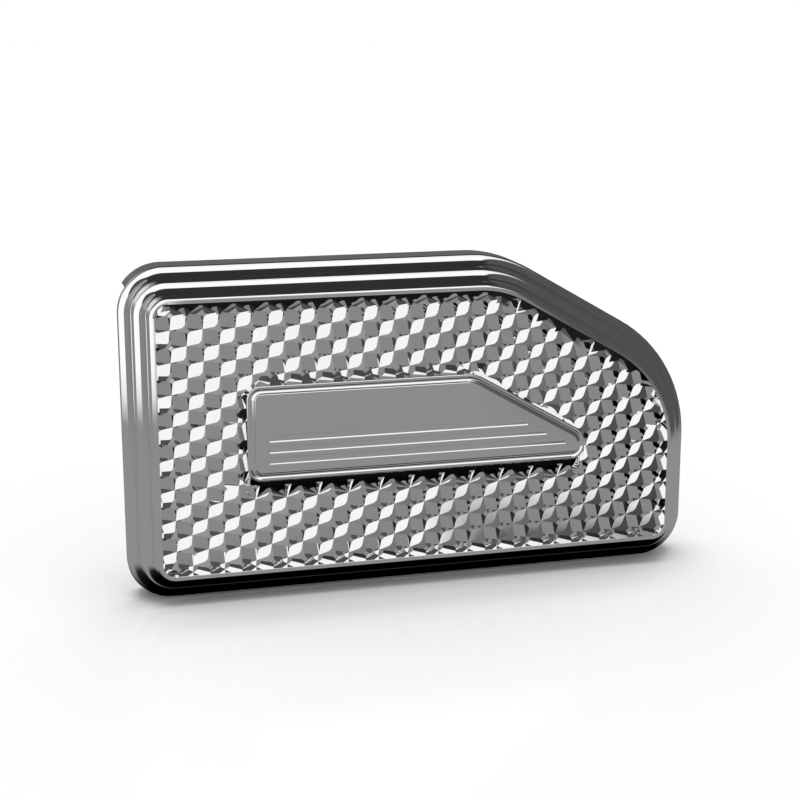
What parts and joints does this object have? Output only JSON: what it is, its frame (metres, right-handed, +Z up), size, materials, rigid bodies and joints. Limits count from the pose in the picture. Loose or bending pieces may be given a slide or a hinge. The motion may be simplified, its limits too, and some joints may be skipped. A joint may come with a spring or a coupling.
{
  "type": "motorcycle brake pedal pad",
  "caption": "Chromed brake pedal pad with a stepped rim, a pyramid tread, a raised fluted panel and rear mounting studs.",
  "frame": {"origin": "midway between the two studs, on the plane where the pedal's plate seats behind the pad", "axes": "+Z up as the pad stands in the picture, the tread faces -Y, +X towards the cut corner; the studs point along +Y"},
  "size_m": [0.1326, 0.0294, 0.0746],
  "materials": {
    "chrome_plate": "mirror-bright chrome plate on die-cast aluminium",
    "zinc_steel": "bright zinc-plated steel"
  },
  "bodies": {
    "root": {"pad_casting": "chrome_plate", "stud_left": "zinc_steel", "stud_right": "zinc_steel", "washer_left": "zinc_steel", "washer_right": "zinc_steel", "lock_nut_left": "zinc_steel", "lock_nut_right": "zinc_steel"}
  },
  "joints": []
}
